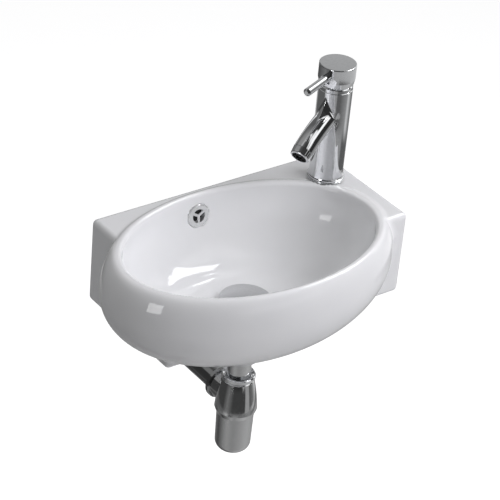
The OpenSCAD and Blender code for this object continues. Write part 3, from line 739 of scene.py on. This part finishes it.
UPPER_WALL = [
    (-180, MIDDLE), (-155, DIM), (-140, DIM), (-125, MIDDLE), (-80, MIDDLE), (-50, DARK), (115, BLACK),
    (180, MIDDLE),
]
CEILING = [
    (-180, DIM), (-85, LIGHT), (-50, DIM), (45, DARK), (60, WHITE), (75, DARK), (130, DARK), (180, DIM),
]
# Elevations between which each belt begins
BELTS = [
    ((-31.5, -30.5), RUG),
    ((-29.4, -29.0), FURNITURE),
    ((-27.56, -27.5), LEDGE),
    ((-27.05, -26.95), WALL_FOOT),
    ((-11, -9), WALL),
    ((26, 29), UPPER_WALL),
    ((66, 74), CEILING),
]
# Windows: azimuths, elevations and tone
WINDOWS = [
    ((35, 77), (-10, 3), WHITE),
    ((59, 77), (23, 66), BRIGHT),
    ((68, 96), (29, 48), GLARE),
    ((59, 79), (48, 66), WHITE),
    ((118, 157), (10, 66), GLARE),
    ((-155, -150), (-10, 27), WHITE),
]
WINDOW_EDGE = 3.0
# Light panels: azimuth, counted from +X, and elevation, half sizes in degrees, waviness and brightness
PANELS = [
    ((-159, 5), (8, 12), 0.0, 5),
    ((-9, 45), (15, 13), 0.35, 8),
]
# Soft light of the room by height, from straight down to straight up, and how it grows to the right
SOFT = [(0.0, 0.13), (0.45, 0.14), (0.7, 0.17), (1.0, 0.22)]
SOFT_TOWARDS = (0.75, -0.5, 0.0)
SOFT_GAIN = 0.35


def height_of(elevation):
    """Upward part of a direction at an elevation in degrees."""
    return math.sin(math.radians(elevation))


def past(tree, value, low, high):
    """0 at low, 1 at high and a straight run between them. Low may lie above high."""
    return add(tree, "ShaderNodeMapRange", {0: value, 1: low, 2: high}).outputs[0]


def window(tree, turn, up, azimuths, elevations):
    """1 inside a window and 0 outside, with soft edges."""
    left, right = azimuths
    low, high = elevations
    half = WINDOW_EDGE / 2
    from_left = past(tree, turn, left - half, left + half)
    to_right = past(tree, turn, right + half, right - half)
    from_low = past(tree, up, height_of(low - half), height_of(low + half))
    to_high = past(tree, up, height_of(high + half), height_of(high - half))
    inside = calc(tree, "MULTIPLY", from_left, to_right)
    inside = calc(tree, "MULTIPLY", inside, from_low)
    return calc(tree, "MULTIPLY", inside, to_high)


def along(tree, direction, axis):
    inputs = {0: direction, 1: axis}
    return add(tree, "ShaderNodeVectorMath", inputs, operation="DOT_PRODUCT").outputs["Value"]


def light_panel(tree, direction, place, half_sizes, wave):
    """1 where a direction meets a rectangular panel that stands round the room, else 0."""
    az, el = (math.radians(angle) for angle in place)
    centre = Vector((math.cos(el) * math.cos(az), math.cos(el) * math.sin(az), math.sin(el)))
    side = Vector((-math.sin(az), math.cos(az), 0))
    ahead = calc(tree, "MAXIMUM", along(tree, direction, centre), 0.001)
    inside = 1.0
    for number, (axis, half) in enumerate(zip((side, centre.cross(side)), half_sizes)):
        off = calc(tree, "DIVIDE", along(tree, direction, axis), ahead)
        if wave:
            inputs = {"Vector": direction, "Scale": 5.0 + 3.0 * number}
            ripple = add(tree, "ShaderNodeTexNoise", inputs).outputs[0]
            off = calc(tree, "ADD", off, calc(tree, "MULTIPLY_ADD", ripple, wave, -wave / 2))
        edge = calc(tree, "LESS_THAN", calc(tree, "ABSOLUTE", off), math.tan(math.radians(half)))
        inside = calc(tree, "MULTIPLY", edge, inside)
    return inside


def reflected_room(tree, direction, camera_back):
    """Belts and windows round the camera's heading, and the light panels."""
    heading = math.atan2(camera_back.y, camera_back.x)
    inputs = {"Vector": direction, "Angle": -heading}
    turned = add(tree, "ShaderNodeVectorRotate", inputs, rotation_type="Z_AXIS").outputs[0]
    x, y, up = add(tree, "ShaderNodeSeparateXYZ", {0: turned}).outputs
    around = calc(tree, "MULTIPLY_ADD", calc(tree, "ARCTAN2", y, x), 0.5 / math.pi, 0.5)
    turn = calc(tree, "MULTIPLY_ADD", around, 360.0, -180.0)

    def belt(stops):
        return ramp(tree, around, [(0.5 + azimuth / 360, tone) for azimuth, tone in stops])

    room = belt(FLOOR)
    for (low, high), stops in BELTS:
        room = mix(tree, past(tree, up, height_of(low), height_of(high)), room, belt(stops))
    for azimuths, elevations, tone in WINDOWS:
        room = mix(tree, window(tree, turn, up, azimuths, elevations), room, grey(tone))
    for place, half_sizes, wave, brightness in PANELS:
        room = mix(tree, light_panel(tree, direction, place, half_sizes, wave), room, grey(brightness))
    return room


def soft_light(tree, direction):
    up = add(tree, "ShaderNodeSeparateXYZ", {0: direction}).outputs[2]
    height = calc(tree, "MULTIPLY_ADD", up, 0.5, 0.5)
    side = calc(tree, "MULTIPLY_ADD", along(tree, direction, SOFT_TOWARDS), SOFT_GAIN, 1.0)
    inputs = {0: ramp(tree, height, SOFT), "Scale": side}
    return add(tree, "ShaderNodeVectorMath", inputs, operation="SCALE").outputs[0]


def studio_world(camera_back):
    """Soft light for matte surfaces, the room for glaze and chrome, and white behind the object."""
    world = bpy.data.worlds.new("studio")
    bpy.context.scene.world = world
    t = new_nodes(world)
    direction = add(t, "ShaderNodeTexCoord").outputs["Generated"]
    path = add(t, "ShaderNodeLightPath").outputs
    seen = mix(t, path["Is Glossy Ray"], soft_light(t, direction), reflected_room(t, direction, camera_back))
    final = mix(t, path["Is Camera Ray"], seen, grey(1))
    background = add(t, "ShaderNodeBackground", {"Color": final, "Strength": 1.0})
    out = add(t, "ShaderNodeOutputWorld")
    t.links.new(background.outputs[0], out.inputs["Surface"])


# Lamps and floor

LAMPS_AIM = (0, -0.1, 0)
COOL = (0.97, 0.965, 1.0)
NEUTRAL = (1, 1, 1)
FLOOR_Z = -0.85
FLOOR_HALF = 6.0
FLOOR_GLOW = 0.72


def lamp(name, at, size, watts, colour=NEUTRAL):
    """Square lamp that lights the object and isn't mirrored in it."""
    data = bpy.data.lights.new(name, "AREA")
    data.shape = "RECTANGLE"
    data.size = size
    data.size_y = size
    data.energy = watts
    data.color = colour
    o = bpy.data.objects.new(name, data)
    bpy.context.scene.collection.objects.link(o)
    o.location = at
    o.rotation_euler = (Vector(at) - Vector(LAMPS_AIM)).to_track_quat("Z", "Y").to_euler()
    o.visible_glossy = False


def pale_floor():
    """Floor that takes soft shadows and glows towards the camera, so that it looks nearly white."""
    m = bpy.data.materials.new("pale_floor")
    t = new_nodes(m)
    pale = add(t, "ShaderNodeBsdfDiffuse", {"Color": grey(0.8)})
    path = add(t, "ShaderNodeLightPath").outputs
    strength = calc(t, "MULTIPLY", path["Is Camera Ray"], FLOOR_GLOW)
    glow = add(t, "ShaderNodeEmission", {"Color": grey(1), "Strength": strength})
    both = add(t, "ShaderNodeAddShader", {0: pale.outputs[0], 1: glow.outputs[0]})
    finish_material(t, both.outputs[0])
    return m


def lay_floor():
    corners = [(x * FLOOR_HALF, y * FLOOR_HALF, FLOOR_Z) for x, y in ((-1, -1), (1, -1), (1, 1), (-1, 1))]
    mesh = bpy.data.meshes.new("floor")
    mesh.from_pydata(corners, [], [(0, 1, 2, 3)])
    mesh.materials.append(pale_floor())
    o = bpy.data.objects.new("floor", mesh)
    bpy.context.scene.collection.objects.link(o)
    o.visible_glossy = False


dress_nodes()
glazed_basin()
spout_blend()
studio_world(place_camera())
lamp("key", (1.5, -0.6, 1.5), 0.9, 14.5, COOL)
lamp("fill", (0.8, -1.9, 1.1), 1.6, 26, COOL)
lamp("left", (-1.0, 0.35, 1.9), 1.4, 9)
lamp("top", (-0.1, 0.2, 2.0), 1.4, 1)
lay_floor()

scene = bpy.context.scene
scene.view_settings.view_transform = "Standard"
